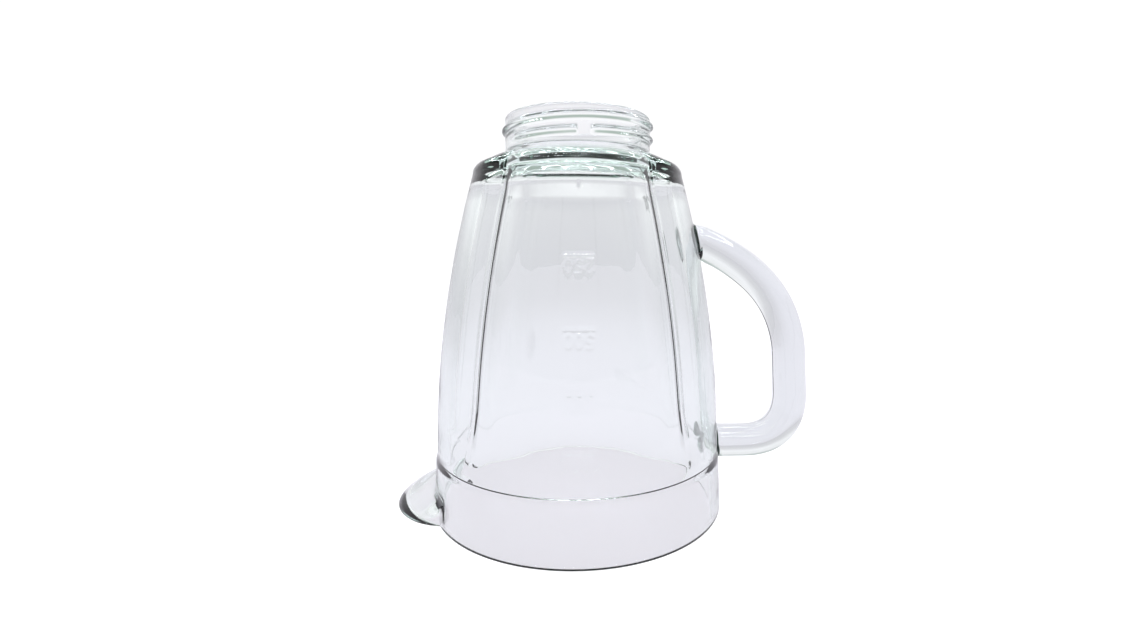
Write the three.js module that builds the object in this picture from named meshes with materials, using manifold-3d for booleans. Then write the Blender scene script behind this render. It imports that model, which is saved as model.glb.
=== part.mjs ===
// A heavy clear glass jar of a kitchen blender, cast in one piece and standing upside down
// on its mouth. Millimetres, +Z up: the mouth's foot is at z = 0 and the threaded neck is
// at the top. The handle points to +X and the pouring spout to -X.
// The meshes are the sections of the casting, each closed, meeting face to face.

import * as THREE from 'three';
import { mergeVertices } from 'three/addons/utils/BufferGeometryUtils.js';
import Module from 'manifold-3d';

// Heights of the sections, from the mouth upwards
const BAND_HEIGHT = 26.5;
const LEDGE_HEIGHT = 1.5;
const BODY_HEIGHT = 118;
const NECK_HEIGHT = 16.5;

// Outside radii, measured at the middle of a lobe. The band stands proud of the body
// by its step, and flares towards the foot.
const BAND_STEP = 0.7;
const BAND_FLARE = 1.3;
const BODY_BASE_RADIUS = 67.3;
const BODY_TOP_RADIUS = 50.9;
const TAPER_POWER = 1.9;
const NECK_RADIUS = 33.4;

// Thickness of the glass; below the shoulder's rounded roof, a short straight wall
const BAND_WALL = 3.9;
const BODY_WALL = 4.8;
const NECK_WALL = 3.9;
const SHOULDER_ROOF = 9.5;
const SHOULDER_WALL = 1;

// Four lobes: how far each lobe's arc is centred off the axis
const LOBE_OFFSET_AT_BASE = 8;
const LOBE_OFFSET_AT_TOP = 12.2;
const LOBE_COUNT = 4;

// The V grooves between the lobes, which stand inside as ribs
const GROOVE_DEPTH = 2.6;
const GROOVE_HALF_WIDTH = 7;
const GROOVE_TIP_ABOVE_LEDGE = 15;
const GROOVE_RUN_OUT = 15;

// Rounded edges
const FOOT_ROUND = 1.3;
const BAND_ROUND = 0.7;
const LIP_ROUND = 1.5;
const SHOULDER_ROUND = 5.5;
const SHOULDER_ROUND_HEIGHT = 9;
const SHOULDER_SLOPE = 28;
const ROOF_ROUND = 8;
const BORE_ROUND = 1;

// The pouring spout, pressed out of the band: how far it stands out from the foot
const SPOUT_PRESS = 18.7;
const SPOUT_HEIGHT = 10.4;
const SPOUT_HALF_ANGLE = THREE.MathUtils.degToRad(27);
const SPOUT_CURVE_POWER = 1.9;
const SPOUT_FALL_POWER = 0.8;
const SPOUT_GLASS = 4.2;

// The screw thread: a round bead of a turn and a half, broken at the mould seam.
// Angles are in degrees about Z, from the handle, and fall as the thread goes down.
const THREAD_PITCH = 5.9;
const THREAD_BEAD_RADIUS = 1.7;
const THREAD_RISE = 1.5;
const THREAD_TOP_DEPTH = 2.95;
const THREAD_STARTS = [40, -450];
const THREAD_SWEEPS = [481, 65];
const THREAD_FADE_ANGLE = 14;

// The handle: a solid bar in a D, standing on a pad at each end. Its upper end is set
// below the shoulder, its lower end across the band's step, and its grip from its ends.
const HANDLE_STANDOFF = 46.7;
const HANDLE_TOP_BELOW_SHOULDER = 19.4;
const HANDLE_FOOT_ABOVE_STEP = 0.5;
const GRIP_TOP_BELOW_END = 52.6;
const GRIP_BASE_ABOVE_END = 23;
const BAR_THICKNESS = 15.6;
const BAR_WIDTH = 18.4;
const BAR_TOP_SLOPE = THREE.MathUtils.degToRad(-20);
const GRIP_LEAN = THREE.MathUtils.degToRad(4);
const BEND_LEAN = THREE.MathUtils.degToRad(8);
const TOP_BEND = 28;
const FOOT_BEND = 15;
const UPPER_PAD_RISE = 1.4;
const LOWER_PAD_RISE = 1.2;
const UPPER_PAD_TILT = THREE.MathUtils.degToRad(5);
const PAD_MARGIN = 0.5;
const PAD_DEPTH = 21;

// The gap left where one section is cut by its neighbour
const GAP = 0.3;

// Facets
const LOBED_SEGMENTS = 72;
const BAND_SEGMENTS = 90;
const SPOUT_LEVELS = [0.3, 0.55, 0.78, 0.93, 1];
const ROUND_SEGMENTS = 64;
const ANGLE_CROWDING = 0.4;
const WALL_RINGS = 12;
const RING_EASING = 1.3;
const ROUND_STEPS = 4;
const LIP_STEPS = 3;
const BAND_EDGE_STEPS = 2;
const PAD_SIDES = 24;
const BEAD_HALF_SIDES = 5;
const BEAD_STEP_ANGLE = 8;
const BAR_HALF_SIDES = 10;
const BAR_STEPS = 40;

// Levels and radii that follow from the sizes above
const BODY_BASE = BAND_HEIGHT + LEDGE_HEIGHT;
const SHOULDER_HEIGHT = SHOULDER_ROOF + ROOF_ROUND + SHOULDER_WALL;
const SHOULDER_BASE = BODY_BASE + BODY_HEIGHT;
const NECK_BASE = SHOULDER_BASE + SHOULDER_HEIGHT;
const NECK_TOP = NECK_BASE + NECK_HEIGHT;
const NECK_BORE = NECK_RADIUS - NECK_WALL;
const BAND_TOP_RADIUS = BODY_BASE_RADIUS + BAND_STEP;
const FOOT_RADIUS = BAND_TOP_RADIUS + BAND_FLARE;
const SPOUT_REACH = FOOT_RADIUS + SPOUT_PRESS;
const GROOVE_TIP_HEIGHT = BODY_BASE + GROOVE_TIP_ABOVE_LEDGE;
const HANDLE_REACH = BODY_BASE_RADIUS + HANDLE_STANDOFF;
const HANDLE_TOP_HEIGHT = SHOULDER_BASE - HANDLE_TOP_BELOW_SHOULDER;
const HANDLE_FOOT_HEIGHT = BAND_HEIGHT + HANDLE_FOOT_ABOVE_STEP;
const HANDLE_GRIP_TOP = HANDLE_TOP_HEIGHT - GRIP_TOP_BELOW_END;
const HANDLE_GRIP_BASE = HANDLE_FOOT_HEIGHT + GRIP_BASE_ABOVE_END;
const AXIS_X = (SPOUT_REACH - HANDLE_REACH) / 2;

const wasm = await Module();
wasm.setup();

function smooth(value) {
  const t = THREE.MathUtils.clamp(value, 0, 1);
  return t * t * (3 - 2 * t);
}

// Outside radius of the tapered wall at a height, at the middle of a lobe
function wallRadius(z) {
  const share = Math.max(0, (z - BODY_BASE) / BODY_HEIGHT);
  return BODY_BASE_RADIUS - (BODY_BASE_RADIUS - BODY_TOP_RADIUS) * share ** TAPER_POWER;
}

// The lobes start round at the band and grow towards the shoulder
function lobeOffset(z) {
  const share = (z - BODY_BASE) / BODY_HEIGHT;
  const full = THREE.MathUtils.lerp(LOBE_OFFSET_AT_BASE, LOBE_OFFSET_AT_TOP, share);
  return full * smooth((z - BODY_BASE) / (GROOVE_TIP_HEIGHT - BODY_BASE));
}

function grooveDepth(z) {
  const share = THREE.MathUtils.clamp((z - GROOVE_TIP_HEIGHT) / GROOVE_RUN_OUT, 0, 1);
  return GROOVE_DEPTH * share * (2 - share);
}

// One point of a turned outline, with what pulls it off the round at some angles
function station(radius, z, shape = {}) {
  return { radius, z, lobe: 0, groove: 0, spout: 0, ...shape };
}

// Angle from the middle of the nearest lobe
function angleInLobe(angle) {
  const lobeAngle = (2 * Math.PI) / LOBE_COUNT;
  return angle - Math.round(angle / lobeAngle) * lobeAngle;
}

// The spout's curve, the same across its width and up its height: broad and then steep
function spoutFall(share) {
  const within = THREE.MathUtils.clamp(share, 0, 1);
  return (1 - within ** SPOUT_CURVE_POWER) ** SPOUT_FALL_POWER;
}

// A lobe is an arc centred off the axis; a groove is a V at the corner between two lobes
function radiusAt(point, angle) {
  const turn = angleInLobe(angle);
  const arc = point.radius - point.lobe;
  const sideways = point.lobe * Math.sin(turn);
  const lobed = point.lobe * Math.cos(turn) + Math.sqrt(Math.max(0, arc * arc - sideways * sideways));
  const fromCorner = (Math.PI / LOBE_COUNT - Math.abs(turn)) * point.radius;
  const groove = point.groove * Math.max(0, 1 - fromCorner / GROOVE_HALF_WIDTH);
  const fromSpout = Math.PI - Math.abs(angle);
  return lobed - groove + point.spout * spoutFall(fromSpout / SPOUT_HALF_ANGLE);
}

// Turns a closed outline about Z and then moves each vertex to its own radius.
// crowding draws the columns together at the corners between the lobes.
function turned(stations, segments, crowding = 0) {
  const outline = stations.map((point) => new THREE.Vector2(point.radius, point.z));
  outline.push(outline[0]);
  const geometry = new THREE.LatheGeometry(outline, segments);
  const position = geometry.attributes.position;
  for (let index = 0; index < position.count; index += 1) {
    const column = Math.floor(index / outline.length) % segments;
    const point = stations[(index % outline.length) % stations.length];
    const even = (column / segments) * 2 * Math.PI - Math.PI;
    const angle = even + (crowding / LOBE_COUNT) * Math.sin(LOBE_COUNT * even);
    const radius = radiusAt(point, angle);
    position.setXYZ(index, radius * Math.cos(angle), radius * Math.sin(angle), point.z);
  }
  return bare(geometry);
}

// Keeps position only and joins the vertices that coincide
function bare(geometry) {
  geometry.deleteAttribute('normal');
  geometry.deleteAttribute('uv');
  return mergeVertices(geometry, 1e-4);
}

function solid(geometry) {
  const vertProperties = new Float32Array(geometry.attributes.position.array);
  const triVerts = new Uint32Array(geometry.index.array);
  return new wasm.Manifold(new wasm.Mesh({ numProp: 3, vertProperties, triVerts }));
}

function surface(body) {
  const mesh = body.getMesh();
  const geometry = new THREE.BufferGeometry();
  geometry.setAttribute('position', new THREE.BufferAttribute(new Float32Array(mesh.vertProperties), 3));
  geometry.setIndex(new THREE.BufferAttribute(new Uint32Array(mesh.triVerts), 1));
  return geometry;
}

// Points of a quarter round, from one angle to another about a centre
function roundEdge(centreRadius, centreZ, size, from, to, steps = ROUND_STEPS) {
  return Array.from({ length: steps + 1 }, (_, step) => {
    const angle = THREE.MathUtils.degToRad(from + ((to - from) * step) / steps);
    return [centreRadius + size * Math.cos(angle), centreZ + size * Math.sin(angle)];
  });
}

// The band with the spout pressed out of it, before the two are parted. At its top, the
// outside steps in to the body and the inside steps in to the ledge that a lid meets.
function spoutedBand() {
  const spoutAt = (z) => ({ spout: SPOUT_PRESS * spoutFall(z / SPOUT_HEIGHT) });
  const outer = (radius, z) => station(radius, z, spoutAt(z));
  const inner = (radius, z) => station(radius, z, spoutAt(z + SPOUT_GLASS));
  const outline = [];
  for (const [radius, z] of roundEdge(FOOT_RADIUS - FOOT_ROUND, FOOT_ROUND, FOOT_ROUND, -90, 0)) {
    outline.push(outer(radius, z));
  }
  const wallTop = BAND_HEIGHT - BAND_ROUND;
  for (const height of SPOUT_LEVELS) {
    const z = SPOUT_HEIGHT * height;
    outline.push(outer(THREE.MathUtils.mapLinear(z, 0, wallTop, FOOT_RADIUS, BAND_TOP_RADIUS), z));
  }
  const topEdge = roundEdge(BAND_TOP_RADIUS - BAND_ROUND, wallTop, BAND_ROUND, 0, 90, BAND_EDGE_STEPS);
  for (const [radius, z] of topEdge) {
    outline.push(outer(radius, z));
  }
  outline.push(outer(BODY_BASE_RADIUS, BODY_BASE));
  outline.push(inner(BODY_BASE_RADIUS - BODY_WALL, BODY_BASE));
  outline.push(inner(BODY_BASE_RADIUS - BODY_WALL, BAND_HEIGHT));
  const insideTop = BAND_TOP_RADIUS - BAND_WALL;
  const insideFoot = FOOT_RADIUS - BAND_WALL;
  outline.push(inner(insideTop, BAND_HEIGHT));
  for (const height of [...SPOUT_LEVELS].reverse()) {
    const z = SPOUT_HEIGHT * height;
    outline.push(inner(THREE.MathUtils.mapLinear(z, 0, BAND_HEIGHT, insideFoot, insideTop), z));
  }
  outline.push(inner(insideFoot, FOOT_ROUND));
  outline.push(inner(insideFoot + FOOT_ROUND, 0));
  return solid(turned(outline, BAND_SEGMENTS));
}

// A block around the spout, from outside the foot to above the spout's root
function spoutBlock(margin) {
  const depth = SPOUT_REACH;
  const width = 2 * (FOOT_RADIUS * Math.sin(SPOUT_HALF_ANGLE) + margin);
  const height = 2 * (SPOUT_HEIGHT + margin);
  const block = new THREE.BoxGeometry(depth, width, height);
  block.translate(-FOOT_RADIUS / 2 - depth / 2, 0, 0);
  return solid(bare(block));
}

function rimBand() {
  return surface(spoutedBand().subtract(spoutBlock(GAP)));
}

function pouringSpout() {
  return surface(spoutedBand().intersect(spoutBlock(0)));
}

// Heights of the body's rings, closer together near the grooves' tips
function wallLevels() {
  return Array.from({ length: WALL_RINGS + 1 }, (_, ring) => (
    BODY_BASE + BODY_HEIGHT * (ring / WALL_RINGS) ** RING_EASING
  ));
}

function flutedBody() {
  const levels = wallLevels();
  const shape = (z) => ({ lobe: lobeOffset(z), groove: grooveDepth(z) });
  const outside = levels.map((z) => station(wallRadius(z), z, shape(z)));
  const inside = levels.map((z) => station(wallRadius(z) - BODY_WALL, z, shape(z)));
  return turned([...outside, ...inside.reverse()], LOBED_SEGMENTS, ANGLE_CROWDING);
}

// The lobes and grooves die away across the shoulder, so that it meets the neck round
function shoulderShape(radius, z, neckRadius, wall) {
  const share = smooth((radius - neckRadius) / (BODY_TOP_RADIUS - wall - neckRadius));
  return { lobe: LOBE_OFFSET_AT_TOP * share, groove: grooveDepth(z) * share };
}

function shoulder() {
  const cornerZ = SHOULDER_BASE + SHOULDER_ROUND_HEIGHT;
  const cornerRadius = wallRadius(cornerZ) - SHOULDER_ROUND;
  const outside = [[BODY_TOP_RADIUS, SHOULDER_BASE]];
  outside.push(...roundEdge(cornerRadius, cornerZ, SHOULDER_ROUND, 0, 90 - SHOULDER_SLOPE));
  outside.push([NECK_RADIUS, NECK_BASE]);
  const roofZ = NECK_BASE - SHOULDER_ROOF - ROOF_ROUND;
  const roof = BODY_TOP_RADIUS - BODY_WALL;
  const inside = [[NECK_BORE, NECK_BASE]];
  inside.push([NECK_BORE, roofZ + ROOF_ROUND + BORE_ROUND]);
  inside.push([NECK_BORE + BORE_ROUND, roofZ + ROOF_ROUND]);
  inside.push(...roundEdge(roof - ROOF_ROUND, roofZ, ROOF_ROUND, 90, 0));
  const outline = [
    ...outside.map(([radius, z]) => station(radius, z, shoulderShape(radius, z, NECK_RADIUS, 0))),
    ...inside.map(([radius, z]) => station(radius, z, shoulderShape(radius, z, NECK_BORE, BODY_WALL))),
  ];
  return turned(outline, LOBED_SEGMENTS, ANGLE_CROWDING);
}

// The thread's centre line: down the neck, turning clockwise seen from above.
// At both ends it sinks into the wall, so that the bead fades out.
class ThreadCurve extends THREE.Curve {
  constructor(startAngle, sweep) {
    super();
    this.startAngle = startAngle;
    this.sweep = sweep;
  }

  getPoint(t, target = new THREE.Vector3()) {
    const angle = THREE.MathUtils.degToRad(this.startAngle - this.sweep * t);
    const turned = (THREAD_STARTS[0] - this.startAngle + this.sweep * t) / 360;
    const toEnd = Math.min(t, 1 - t) * this.sweep;
    const sunk = 1 - smooth(toEnd / THREAD_FADE_ANGLE);
    const radius = NECK_RADIUS + THREAD_RISE - THREAD_BEAD_RADIUS - sunk * THREAD_RISE;
    const z = NECK_TOP - THREAD_TOP_DEPTH - THREAD_PITCH * turned;
    return target.set(radius * Math.cos(angle), radius * Math.sin(angle), z);
  }
}

function threadBead(startAngle, sweep) {
  const section = new THREE.Shape();
  section.absarc(0, 0, THREAD_BEAD_RADIUS, 0, 2 * Math.PI);
  const bead = new THREE.ExtrudeGeometry(section, {
    curveSegments: BEAD_HALF_SIDES,
    steps: Math.ceil(sweep / BEAD_STEP_ANGLE),
    extrudePath: new ThreadCurve(startAngle, sweep),
  });
  return solid(bare(bead));
}

function threadedNeck() {
  const outline = [station(NECK_RADIUS, NECK_BASE)];
  const lip = roundEdge(NECK_RADIUS - LIP_ROUND, NECK_TOP - LIP_ROUND, LIP_ROUND, 0, 90, LIP_STEPS);
  for (const [radius, z] of lip) {
    outline.push(station(radius, z));
  }
  outline.push(station(NECK_BORE + LIP_ROUND / 2, NECK_TOP));
  outline.push(station(NECK_BORE, NECK_TOP - LIP_ROUND / 2));
  outline.push(station(NECK_BORE, NECK_BASE));
  let neck = solid(turned(outline, ROUND_SEGMENTS));
  THREAD_STARTS.forEach((startAngle, part) => {
    neck = neck.add(threadBead(startAngle, THREAD_SWEEPS[part]));
  });
  return surface(neck);
}

// The outside of the jar as a solid, grown by the gap, to cut what stands against it
function jarCutter() {
  const outline = [station(0, 0), station(FOOT_RADIUS + GAP, 0)];
  outline.push(station(BAND_TOP_RADIUS + GAP, BAND_HEIGHT));
  for (const z of wallLevels()) {
    outline.push(station(wallRadius(z) + GAP, z + GAP, { lobe: lobeOffset(z), groove: grooveDepth(z) }));
  }
  outline.push(station(0, SHOULDER_BASE + GAP));
  return solid(turned(outline, LOBED_SEGMENTS, ANGLE_CROWDING));
}

function lowerFaceX() {
  return Math.max(BAND_TOP_RADIUS, wallRadius(HANDLE_FOOT_HEIGHT)) + LOWER_PAD_RISE;
}

function upperFaceX() {
  return wallRadius(HANDLE_TOP_HEIGHT) + UPPER_PAD_RISE;
}

// Where each pad's outer face is, and how far it leans with the wall
const PAD_FACES = {
  upper: { x: upperFaceX(), z: HANDLE_TOP_HEIGHT, tilt: UPPER_PAD_TILT },
  lower: { x: lowerFaceX(), z: HANDLE_FOOT_HEIGHT, tilt: 0 },
};

// Puts a piece that ends at its own x = 0 against a pad's face
function placeAtFace(geometry, face) {
  geometry.rotateY(-face.tilt);
  geometry.translate(face.x, 0, face.z);
  return solid(bare(geometry));
}

// An oval boss from inside the wall to the face that the bar stands on
function handlePad(face) {
  const boss = new THREE.CylinderGeometry(1, 1, PAD_DEPTH, PAD_SIDES);
  boss.rotateZ(Math.PI / 2);
  boss.scale(1, BAR_WIDTH / 2 + PAD_MARGIN, BAR_THICKNESS / 2 + PAD_MARGIN);
  boss.translate(-PAD_DEPTH / 2, 0, 0);
  return surface(placeAtFace(boss, face).subtract(jarCutter()));
}

// Everything on the jar's side of a pad's face, with the gap
function behindFace(face) {
  const size = 2 * BAR_WIDTH;
  const block = new THREE.BoxGeometry(size, size, size);
  block.translate(GAP - size / 2, 0, 0);
  return placeAtFace(block, face);
}

// The bar's centre line: a sloping sweep, a leaning grip, a bend and a level foot
function handleCurve() {
  const at = (x, z) => new THREE.Vector3(x, 0, z);
  const start = at(PAD_FACES.upper.x - UPPER_PAD_RISE, PAD_FACES.upper.z);
  const end = at(PAD_FACES.lower.x - LOWER_PAD_RISE, PAD_FACES.lower.z);
  const gripX = HANDLE_REACH - BAR_THICKNESS / 2;
  const leanedIn = Math.tan(GRIP_LEAN) * (HANDLE_GRIP_TOP - HANDLE_GRIP_BASE);
  const gripTop = at(gripX - leanedIn, HANDLE_GRIP_TOP);
  const gripBase = at(gripX, HANDLE_GRIP_BASE);
  const footX = gripX - (HANDLE_GRIP_BASE - HANDLE_FOOT_HEIGHT);
  const slope = at(Math.cos(BAR_TOP_SLOPE), Math.sin(BAR_TOP_SLOPE));
  const down = at(Math.sin(BEND_LEAN), -Math.cos(BEND_LEAN));
  const path = new THREE.CurvePath();
  const topHandle = start.clone().addScaledVector(slope, TOP_BEND);
  const gripHandle = gripTop.clone().addScaledVector(down, -TOP_BEND);
  path.add(new THREE.CubicBezierCurve3(start, topHandle, gripHandle, gripTop));
  path.add(new THREE.LineCurve3(gripTop, gripBase));
  const cornerOut = at(gripX, HANDLE_GRIP_BASE - FOOT_BEND);
  const cornerIn = at(footX + FOOT_BEND, HANDLE_FOOT_HEIGHT);
  const foot = at(footX, HANDLE_FOOT_HEIGHT);
  path.add(new THREE.CubicBezierCurve3(gripBase, cornerOut, cornerIn, foot));
  path.add(new THREE.LineCurve3(foot, end));
  return path;
}

// An oval section carried along the centre line, cut off at both pads
function handleBar() {
  const section = new THREE.Shape();
  section.absellipse(0, 0, BAR_WIDTH / 2, BAR_THICKNESS / 2, 0, 2 * Math.PI);
  const bar = new THREE.ExtrudeGeometry(section, {
    curveSegments: BAR_HALF_SIDES,
    steps: BAR_STEPS,
    extrudePath: handleCurve(),
  });
  const cut = solid(bare(bar)).subtract(behindFace(PAD_FACES.upper));
  return surface(cut.subtract(behindFace(PAD_FACES.lower)));
}

function glass(color) {
  return new THREE.MeshStandardMaterial({ color, roughness: 0.05, metalness: 0 });
}

function named(name, geometry, color) {
  const mesh = new THREE.Mesh(geometry, glass(color));
  mesh.name = name;
  return mesh;
}

const jar = new THREE.Group();
jar.position.x = AXIS_X;
jar.add(named('threaded_neck', threadedNeck(), 0xdfe4e2));
jar.add(named('shoulder', shoulder(), 0xc3d1c8));
jar.add(named('fluted_body', flutedBody(), 0xe1e0e8));
jar.add(named('rim_band', rimBand(), 0xdcdde3));
jar.add(named('pouring_spout', pouringSpout(), 0xd5dbd8));
jar.add(named('handle_upper_pad', handlePad(PAD_FACES.upper), 0xccd4d0));
jar.add(named('handle_lower_pad', handlePad(PAD_FACES.lower), 0xccd4d0));
jar.add(named('handle_bar', handleBar(), 0xe3e2ea));

const object = new THREE.Group();
object.add(jar);

export default object;
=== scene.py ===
# %% [markdown]
# # A pressed-glass blender jar, upside down on its mouth
# The real jar is one heavy casting of clear glass. Glass shows nearly nothing of itself: what
# the eye reads is how each bend of its two surfaces moves the pale room behind it. So nearly
# all of the work is in the shape of the inside and the outside, and little of it in colour.

# %% Open the frame and load the tools
import math

import bpy
import numpy as np
from mathutils import Matrix, Vector


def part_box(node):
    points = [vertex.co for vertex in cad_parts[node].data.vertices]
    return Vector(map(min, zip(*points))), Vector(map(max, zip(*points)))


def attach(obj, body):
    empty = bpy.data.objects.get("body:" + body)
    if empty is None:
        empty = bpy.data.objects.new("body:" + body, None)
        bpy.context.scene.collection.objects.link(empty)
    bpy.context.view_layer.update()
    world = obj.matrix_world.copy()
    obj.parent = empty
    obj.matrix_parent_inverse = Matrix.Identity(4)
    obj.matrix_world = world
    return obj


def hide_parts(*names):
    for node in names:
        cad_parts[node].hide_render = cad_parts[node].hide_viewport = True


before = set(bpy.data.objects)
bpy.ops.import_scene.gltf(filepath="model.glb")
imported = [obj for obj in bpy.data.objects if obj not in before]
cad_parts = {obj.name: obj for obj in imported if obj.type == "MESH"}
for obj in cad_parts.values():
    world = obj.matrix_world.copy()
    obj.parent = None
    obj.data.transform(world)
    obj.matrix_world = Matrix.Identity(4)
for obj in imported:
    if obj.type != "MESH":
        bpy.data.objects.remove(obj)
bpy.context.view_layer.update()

MM = 0.001
print("frame nodes:", sorted(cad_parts))

# %% [markdown]
# ## Sizes
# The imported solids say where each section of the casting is. Heights and radii are read from
# their boxes, in millimetres about the jar's own axis, which isn't the frame's origin: the
# handle reaches further out than the spout does.

# %% Read the heights and radii
def box_mm(node):
    """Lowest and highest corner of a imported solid, in millimetres."""
    low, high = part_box(node)
    return np.array(low) / MM, np.array(high) / MM


def half_width(node):
    """Half of a solid's size from front to back, which is its largest radius."""
    low, high = box_mm(node)
    return (high[1] - low[1]) / 2


BODY_LOW, BODY_HIGH = box_mm("fluted_body")
AXIS_X = (BODY_LOW[0] + BODY_HIGH[0]) / 2
BODY_BASE = BODY_LOW[2]
SHOULDER_BASE = BODY_HIGH[2]
NECK_BASE = box_mm("threaded_neck")[0][2]
NECK_TOP = box_mm("threaded_neck")[1][2]
BODY_HEIGHT = SHOULDER_BASE - BODY_BASE

BODY_BASE_RADIUS = half_width("fluted_body")
BODY_TOP_RADIUS = half_width("shoulder")
FOOT_RADIUS = half_width("rim_band")
SPOUT_TIP = box_mm("pouring_spout")[0][0] - AXIS_X
HANDLE_TIP = box_mm("handle_bar")[1][0] - AXIS_X
print(f"axis at x {AXIS_X:.1f} mm, lip at z {NECK_TOP:.1f} mm")
print(f"body from {BODY_BASE:.1f} to {SHOULDER_BASE:.1f} mm up")
print(f"spout tip {SPOUT_TIP:.1f} mm and handle tip {HANDLE_TIP:.1f} mm from the axis")

# %% [markdown]
# ## The wall
# The body tapers towards the neck along a power curve, and its plan is a clover: four arcs,
# each centred a little off the axis. Where two arcs meet, a groove is pressed in from
# outside: a broad valley with a narrow crease in its middle. The two at the back are valleys
# only, with a rounded corner, so that they don't draw dark lines behind the front panel. The
# inside follows at a steady thickness, so each groove stands inside as a rib that keeps the
# food from circling with the blades. Each rule below is a formula on height or on distance,
# so it can be worked out for the whole grid of points at once.

# %% The taper, the lobes and the grooves
LEDGE_HEIGHT = 1.5
BAND_TOP = BODY_BASE - LEDGE_HEIGHT
TAPER_POWER = 1.9
LOBE_AT_BASE = 8.0
LOBE_AT_TOP = 12.2
GROOVE_DEPTH = 2.6
VALLEY_HALF_WIDTH = 15.0
CREASE_SHARE = 0.3
BACK_CORNER_ROUND = 0.085
CREASE_HALF_WIDTH = 1.1
RIB_HALF_WIDTH = 2.4
GROOVE_TIP = BODY_BASE + 15.0  # where the groove fades out, above the band
GROOVE_RUN_OUT = 15.0
BODY_WALL = 4.8


def smooth(value):
    """Rises from 0 to 1 as value does, level at both ends: 3t^2 - 2t^3."""
    t = np.clip(value, 0.0, 1.0)
    return t * t * (3.0 - 2.0 * t)


def wall_radius(z):
    """Outside radius at the middle of a lobe: base less a share of height to a power."""
    share = np.clip((z - BODY_BASE) / BODY_HEIGHT, 0.0, None)
    return BODY_BASE_RADIUS - (BODY_BASE_RADIUS - BODY_TOP_RADIUS) * share ** TAPER_POWER


def lobe_offset(z):
    """How far a lobe's arc is centred off the axis: none at the band, most at the shoulder."""
    share = (z - BODY_BASE) / BODY_HEIGHT
    full = LOBE_AT_BASE + (LOBE_AT_TOP - LOBE_AT_BASE) * share
    return full * smooth((z - BODY_BASE) / (GROOVE_TIP - BODY_BASE))


def groove_section(away, crease_half_width, crease_share):
    """Across a groove: a broad soft valley, and in its middle a narrow crease. Each is one
    less a smooth step of the distance from the middle, weighted by the crease's share."""
    valley = 1.0 - smooth(away / VALLEY_HALF_WIDTH)
    crease = 1.0 - smooth(away / crease_half_width)
    return (1.0 - crease_share) * valley + crease_share * crease


def groove_depth(z):
    """Full depth up the wall, running out along a parabola to a point near the band."""
    share = np.clip((z - GROOVE_TIP) / GROOVE_RUN_OUT, 0.0, 1.0)
    return GROOVE_DEPTH * share * (2.0 - share)


for level in (60.0, 100.0, 140.0):
    print(f"at z {level:.0f}: radius {wall_radius(level):.1f}, lobe offset {lobe_offset(level):.1f} mm")

# %% [markdown]
# ## Raised numbers
# The front panel carries a measuring scale, raised about 0.3 millimetres. It is read
# with the jar the right way up, so on the inverted jar the numbers stand on their heads. The
# levels are worked out from the inside of the section: slices are added up from the neck
# until they hold a quarter of a litre, and so on. They are needed first, because the rings of
# the wall are drawn closer together where the numbers will stand.

# %% Where each quarter of a litre comes to
ROOF_DROP = 9.3
ROOF_Z = NECK_BASE - ROOF_DROP
SLICES = 2000
MM3_PER_LITRE = 1e6


def level_of(litres):
    """Height of the surface when the upright jar holds this much: slices summed from the roof."""
    z = np.linspace(ROOF_Z, BODY_BASE, SLICES)
    offset = np.clip(lobe_offset(z), 0.0, LOBE_AT_TOP)
    arc_r = wall_radius(z) - BODY_WALL - offset
    turn = np.linspace(0.0, math.pi / 4, 91)[:, None]
    across_arc = np.sqrt(np.clip(arc_r ** 2 - (offset * np.sin(turn)) ** 2, 0.0, None))
    area = math.pi * np.mean((offset * np.cos(turn) + across_arc) ** 2, axis=0)
    slices = 0.5 * (area[1:] + area[:-1]) * -np.diff(z)
    held = np.concatenate([[0.0], np.cumsum(slices)]) / MM3_PER_LITRE
    return float(np.interp(litres, held, z))


MARKS = {text: level_of(float(text) / 1000.0) for text in ("250", "500", "750", "1000")}
print("scale:", {text: round(z, 1) for text, z in MARKS.items()})

# %% [markdown]
# ## One closed outline
# A turner would describe the jar by its section: up the outside from the foot, over the lip
# and down the inside to the foot again. Each point of that outline becomes a ring. Flat
# stretches need few rings and rounded edges need several, so the outline is put together
# from arcs and lines, each with its own count. Beside its radius and height, each ring
# carries how much of the lobes, the grooves and the spout it takes part in.

# %% Arcs and lines
def arc(centre_r, centre_z, size, start, end, count):
    """Points at equal angles, in degrees, round a centre in the section's plane."""
    angle = np.radians(np.linspace(start, end, count))
    return np.stack([centre_r + size * np.cos(angle), centre_z + size * np.sin(angle)], axis=1)


def line(start, end, count):
    """Points at equal steps from start towards end, leaving out both ends."""
    share = np.linspace(0.0, 1.0, count + 2)[1:-1, None]
    return np.array(start) * (1.0 - share) + np.array(end) * share


print("a quarter round in three points:", np.round(arc(0.0, 0.0, 1.0, 0.0, 90.0, 3), 2).tolist())

# %% [markdown]
# The outline's corners are all rounded a little, as hot glass rounds itself. Sharp edges would
# catch no highlight, and they would look like cut plastic. These are the radii of those rounds
# and the thicknesses of the glass, all in millimetres.

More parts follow.
